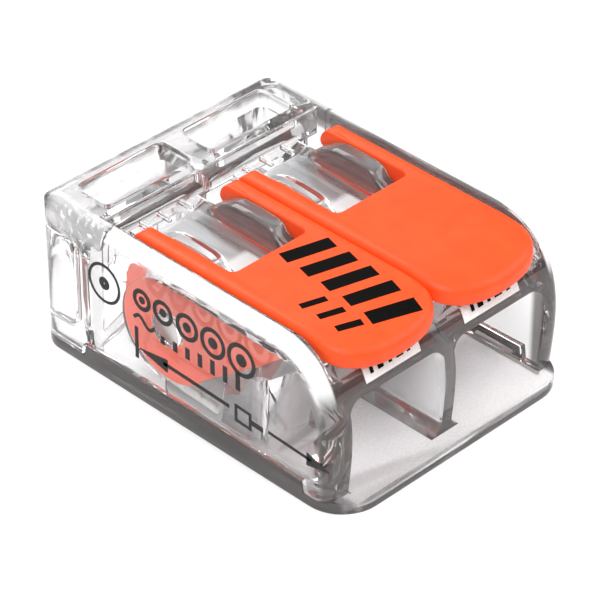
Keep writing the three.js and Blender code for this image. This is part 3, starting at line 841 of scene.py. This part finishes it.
def slice_mesh(obj, cuts):
    """Cuts the faces of obj across Y so that it can be bent smoothly."""
    bm = bmesh.new()
    bm.from_mesh(obj.data)
    for y in cuts:
        geometry = bm.verts[:] + bm.edges[:] + bm.faces[:]
        bmesh.ops.bisect_plane(bm, geom=geometry, plane_co=(0, y, 0), plane_no=(0, 1, 0))
    bm.to_mesh(obj.data)
    bm.free()


# ---------------------------------------------------------------- springs and busbar

def strip_solid(centre_line, half_width, thickness=STRIP, edge=0.06):
    """A strip of metal bent along a centre line of (y, z) points."""
    left, right = [], []
    count = len(centre_line)
    for i, (y, z) in enumerate(centre_line):
        before = centre_line[max(i - 1, 0)]
        after = centre_line[min(i + 1, count - 1)]
        run = Vector((after[0] - before[0], after[1] - before[1])).normalized()
        left.append((y - run.y * thickness / 2, z + run.x * thickness / 2))
        right.append((y + run.y * thickness / 2, z - run.x * thickness / 2))
    return along_x(left + right[::-1], -half_width, half_width, edge, 3)


def spring():
    """The whole clamp spring: hook, holding leg, bow and clamping leg in one strip."""
    hook_y = FRAME_REAR + HOOK_GAP + STRIP / 2
    top_z = FRAME_TOP + SEAT_GAP + STRIP / 2
    line = [(hook_y, 5.75), (hook_y, 6.1)] + arc(hook_y - 0.3, top_z - 0.3, 0.3, 0, 90, 6)
    line += [(4.3, top_z), (3.0, top_z - 0.07), (1.5, top_z - 0.14)]
    line += arc(BOW_Y, BOW_Z, BOW_R, 90, 225, 18)
    dy, dz = math.cos(CLAMP_ANGLE), math.sin(CLAMP_ANGLE)
    y0, z0 = line[-1]
    reach = CLAMP_LENGTH + 0.1
    line += [(y0 + dy * reach * t, z0 + dz * reach * t) for t in [0.1 * i for i in range(1, 11)]]
    return strip_solid(line, SPRING_HALF)


def busbar():
    bars = []
    for x in (-POLE, POLE):
        plate = box(-BUS_HALF, BUS_HALF, -1.2, FRAME_REAR, BUS_BOTTOM, BUS_TOP)
        upright = box(-BUS_HALF, BUS_HALF, FRAME_FRONT, FRAME_REAR, BUS_BOTTOM, FRAME_TOP)
        window = along_y(rounded(-WIRE_HALF, WIRE_HALF, BUS_TOP, WIRE_TOP, 0.4), 4, 6)
        bars.append(shift(cut(join(plate, upright), window), x=x))
    return join(bars[0], bars[1], box(-4, 4, 2.0, FRAME_REAR, BUS_BOTTOM, BUS_TOP))


# ---------------------------------------------------------------- prints

def ribbon(points, width, place, thickness=0.014):
    """A printed stroke: a thin closed band of constant width along points, put on a surface by place."""
    fine = []
    for (u0, v0), (u1, v1) in zip(points, points[1:]):
        parts = max(1, int(math.dist((u0, v0), (u1, v1)) / 0.15))
        fine += [(u0 + (u1 - u0) * i / parts, v0 + (v1 - v0) * i / parts) for i in range(parts)]
    fine.append(points[-1])
    closed = math.dist(points[0], points[-1]) < 1e-4
    if closed:
        fine.pop()
    count = len(fine)
    rows = []
    for i, (u, v) in enumerate(fine):
        before = fine[i - 1] if closed or i else fine[i]
        after = fine[(i + 1) % count] if closed or i < count - 1 else fine[i]
        run = Vector((after[0] - before[0], after[1] - before[1])).normalized()
        leg = Vector((after[0] - u, after[1] - v)) if after != fine[i] else run
        half = width / 2 / max(run.dot(leg.normalized()), 0.5)
        nu, nv = -run.y * half, run.x * half
        rows.append([place(u + nu, v + nv, 0), place(u - nu, v - nv, 0),
                     place(u - nu, v - nv, thickness), place(u + nu, v + nv, thickness)])
    return band_mesh(rows, closed)


def band_mesh(rows, closed):
    bm = bmesh.new()
    rings = [[bm.verts.new(p) for p in row] for row in rows]
    pairs = list(zip(rings, rings[1:])) + ([(rings[-1], rings[0])] if closed else [])
    for a, b in pairs:
        for i in range(4):
            j = (i + 1) % 4
            bm.faces.new((a[i], a[j], b[j], b[i]))
    if not closed:
        bm.faces.new(rings[0][::-1])
        bm.faces.new(rings[-1])
    bmesh.ops.recalc_face_normals(bm, faces=bm.faces)
    mesh = bpy.data.meshes.new("print")
    bm.to_mesh(mesh)
    bm.free()
    return new_object("print", mesh)


def merged(pieces):
    """One object that holds the meshes of all the pieces."""
    bm = bmesh.new()
    for piece in pieces:
        bm.from_mesh(piece.data)
        bpy.data.objects.remove(piece)
    mesh = bpy.data.meshes.new("print")
    bm.to_mesh(mesh)
    bm.free()
    return new_object("print", mesh)


def on_left_side(u, v, height):
    """Marks on the left wall: u runs towards the wire entries, v is up."""
    return (-HALF_WIDTH + 0.002 - height, -u, v)


def on_left_lever(u, v, height):
    """Marks on the left lever's skin: u runs towards the nose, v across the lever."""
    y = -u
    return (-POLE + v, y, HEIGHT - droop(y) - 0.002 + height)


def circle(u, v, radius, steps=28):
    return arc(u, v, radius, 0, 360, steps)


def side_prints():
    place = on_left_side
    strokes = []
    # strip gauge: a stop line, an arrow each way and a bared wire between them
    strokes.append(ribbon([(-3.25, 2.5), (-3.25, 4.35)], 0.24, place))
    strokes.append(ribbon([(-1.4, 3.14), (3.1, 3.0)], 0.22, place))
    strokes.append(ribbon([(5.7, 2.9), (8.5, 2.78)], 0.18, place))
    strokes.append(ribbon([(3.55, 2.45), (4.5, 2.4), (4.5, 3.25), (3.55, 3.3), (3.55, 2.45)], 0.18, place))
    strokes.append(ribbon([(4.6, 2.83), (5.35, 2.8)], 0.3, place))
    for tip, base in ((-3.05, -1.1), (9.65, 8.2)):
        for part in range(8):
            u0 = tip + (base - tip) * part / 8
            u1 = tip + (base - tip) * (part + 1) / 8
            strokes.append(ribbon([(u0, 3.15 - 0.035 * (u0 + 3)), (u1, 3.15 - 0.035 * (u1 + 3))],
                                  0.1 + 0.09 * part, place))
    # wire sizes: a row of growing wires seen end on, each a ring round a solid core
    for u, radius in ((-2.8, 0.5), (-1.35, 0.57), (0.3, 0.65), (2.05, 0.73), (3.95, 0.82)):
        strokes.append(ribbon(circle(u, 6.1, radius), 0.24, place))
        strokes.append(ribbon(circle(u, 6.1, 0.22 * radius), 0.4 * radius, place))
    # a wave, then bars of growing height
    wave = [(-3.4 + 0.08 * i, 4.85 + 0.26 * math.sin(0.08 * i * 4.4)) for i in range(19)]
    strokes.append(ribbon(wave, 0.2, place))
    for i in range(7):
        strokes.append(ribbon([(-1.4 + 0.85 * i, 4.25), (-1.4 + 0.85 * i, 4.7 + 0.1 * i)], 0.3, place))
    # a plain ring with a dot on the rear part of the wall
    strokes.append(ribbon(circle(-5.45, 5.75, 1.05), 0.17, place))
    strokes.append(ribbon(circle(-5.45, 5.75, 0.2), 0.32, place))
    return merged(strokes)


def lever_prints():
    """A band of bold slanted bars with a short row of small ones beside it."""
    place = on_left_lever
    strokes = []
    for k in range(5):
        u, v = 2.45 + 1.5 * k, 1.3 - 0.12 * k
        strokes.append(ribbon([(u - 0.35, v - 1.3), (u + 0.35, v + 1.3)], 0.84, place))
    for k in range(3):
        u = 5.6 + 1.15 * k
        strokes.append(ribbon([(u - 0.2, -2.15), (u + 0.2, -0.85)], 0.4, place))
    return merged(strokes)


def on_lip(x0, x1, lower, upper, lift):
    """A thin sheet from x0 to x1 laid on the sloping lip under a nose, between two heights."""
    slope = [(-9.36, 6.2), (-9.23, 6.5), (-9.08, 6.81), (-8.97, 6.93), (-8.1, 6.93)]
    run = [(y, z) for y, z in slope if lower <= z <= upper]
    return along_x(run + [(y - 0.012 - lift, z + 0.012 + lift) for y, z in reversed(run)], x0, x1)


def label():
    """Plain white label on the lip under each nose."""
    return merged([on_lip(1.3, 5.1, 6.1, 7, 0.01), on_lip(-5.3, -1.7, 6.1, 7, 0.01)])


def label_bars():
    """Plain bars across the label, like the stripes of a wire chart."""
    bars = []
    for x, width in ((1.9, 0.2), (2.35, 0.35), (3.0, 0.2), (3.5, 0.5), (4.3, 0.25),
                     (-4.9, 0.2), (-4.4, 0.35), (-3.7, 0.2), (-3.2, 0.45), (-2.5, 0.2)):
        bars.append(on_lip(x, x + width, 6.4, 7, 0.03))
    return merged(bars)


# ---------------------------------------------------------------- assembly

def fine_edge(middle):
    """True where facets are too small to round: the divider's front, the bay's flared rim, the rail feet."""
    side = abs(middle.x)
    divider = side < 0.5 and middle.y < -9
    rim = 6.9 < side < 7.5 and middle.z > 8.3
    foot = middle.z < 7.5 and -1.5 < middle.y < 5.3 and side < 6
    return divider or rim or foot


def tongue_root(middle):
    """True where the cover's tongues join its rear wall."""
    return middle.y > 9.9 and 6.5 < abs(middle.x) < 7.6 and middle.z < 6.9


finish_piece(tidy(housing(), 0.04, leave=fine_edge), "housing_shell_clear", "housing", HOUSING_CLEAR,
             ["housing_shell"])
finish_piece(tidy(base_cover(), leave=tongue_root), "base_cover_clear", "housing", COVER_CLEAR,
             ["base_cover"])
finish_piece(tidy(busbar()), "busbar_tinned", "housing", TINNED, ["busbar"])
for side, x in (("left", -POLE), ("right", POLE)):
    finish_piece(shift(tidy(lever(), 0.05), x=x), f"lever_{side}_moulded", f"lever_{side}", ORANGE,
                 [f"lever_{side}"])
    strip = finish_piece(shift(spring(), x=x), f"spring_{side}_strip", None, SPRING_STEEL,
                         [f"spring_{side}_holding_leg", f"spring_{side}_clamping_leg"])
    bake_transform(strip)
finish_piece(side_prints(), "side_prints", "housing", GREY_INK)
finish_piece(lever_prints(), "lever_prints", "lever_left", BLACK_INK)
finish_piece(entry_ribs(), "entry_ribs", "housing", FROSTED)
finish_piece(label(), "entry_label", "housing", LABEL_WHITE)
finish_piece(label_bars(), "entry_label_bars", "housing", BLACK_INK)


# ---------------------------------------------------------------- floor, light and camera

def studio_floor():
    size = 1.2
    corners = [(-size, -size, 0), (size, -size, 0), (size, size, 0), (-size, size, 0)]
    mesh = bpy.data.meshes.new("studio_floor")
    mesh.from_pydata(corners, [], [(0, 1, 2, 3)])
    floor = new_object("studio_floor", mesh)
    floor.location.z = -0.00002
    material, tree, shader = node_material("pale_paper")
    tone = noise(tree, 60, 3)
    paper = blend_colours(tree, tone, (0.9, 0.9, 0.9), (0.93, 0.93, 0.93))
    tree.links.new(paper, shader.inputs["Base Color"])
    shader.inputs["Roughness"].default_value = 0.8
    shader.inputs["Specular IOR Level"].default_value = 0.1
    mesh.materials.append(material)


def area_light(name, where, target, size, power):
    light = bpy.data.lights.new(name, "AREA")
    light.shape = "RECTANGLE"
    light.size, light.size_y = size
    light.energy = power
    obj = bpy.data.objects.new(name, light)
    obj.location = where
    obj.rotation_euler = (Vector(target) - Vector(where)).to_track_quat("-Z", "Y").to_euler()
    bpy.context.scene.collection.objects.link(obj)


def studio_world():
    world = bpy.data.worlds.new("studio")
    bpy.context.scene.world = world
    world.use_nodes = True
    tree = world.node_tree
    where = tree.nodes.new("ShaderNodeTexCoord")
    split = tree.nodes.new("ShaderNodeSeparateXYZ")
    ramp = tree.nodes.new("ShaderNodeValToRGB")
    ramp.color_ramp.elements[0].position = 0.25
    ramp.color_ramp.elements[0].color = (0.015, 0.015, 0.016, 1)
    ramp.color_ramp.elements[1].position = 0.6
    ramp.color_ramp.elements[1].color = (1, 1, 1, 1)
    tree.links.new(where.outputs["Generated"], split.inputs["Vector"])
    tree.links.new(split.outputs["Z"], ramp.inputs["Fac"])
    tree.links.new(ramp.outputs["Color"], tree.nodes["Background"].inputs["Color"])
    tree.nodes["Background"].inputs["Strength"].default_value = 0.6


def camera():
    """The photograph's view: from the left and the front, 35.26 degrees down, as an isometric view is."""
    azimuth, elevation = math.radians(-45), math.atan(1 / math.sqrt(2))
    distance = 0.16173
    target = Vector((0, 0, 0.005))
    back = Vector((math.sin(azimuth) * math.cos(elevation), -math.cos(azimuth) * math.cos(elevation),
                   math.sin(elevation)))
    data = bpy.data.cameras.new("camera")
    data.sensor_width = 36
    data.lens = 200.8
    data.shift_x = -0.00575
    data.shift_y = -0.04265
    data.clip_start = 0.01
    data.clip_end = 10
    obj = bpy.data.objects.new("camera", data)
    obj.location = target + back * distance
    obj.rotation_euler = (-back).to_track_quat("-Z", "Y").to_euler()
    bpy.context.scene.collection.objects.link(obj)
    bpy.context.scene.camera = obj


studio_floor()
studio_world()
area_light("key", (-0.25, -0.15, 0.42), (0, 0, 0.004), (0.3, 0.3), 1.9)
area_light("fill", (0.35, -0.25, 0.3), (0, 0, 0.004), (0.3, 0.3), 1.0)
area_light("back", (0.05, 0.45, 0.35), (0, 0, 0.004), (0.5, 0.25), 1.6)
camera()
scene = bpy.context.scene
scene.view_settings.view_transform = "Standard"
scene.view_settings.look = "None"
scene.cycles.max_bounces = 16
scene.cycles.glossy_bounces = 8
scene.cycles.transmission_bounces = 14
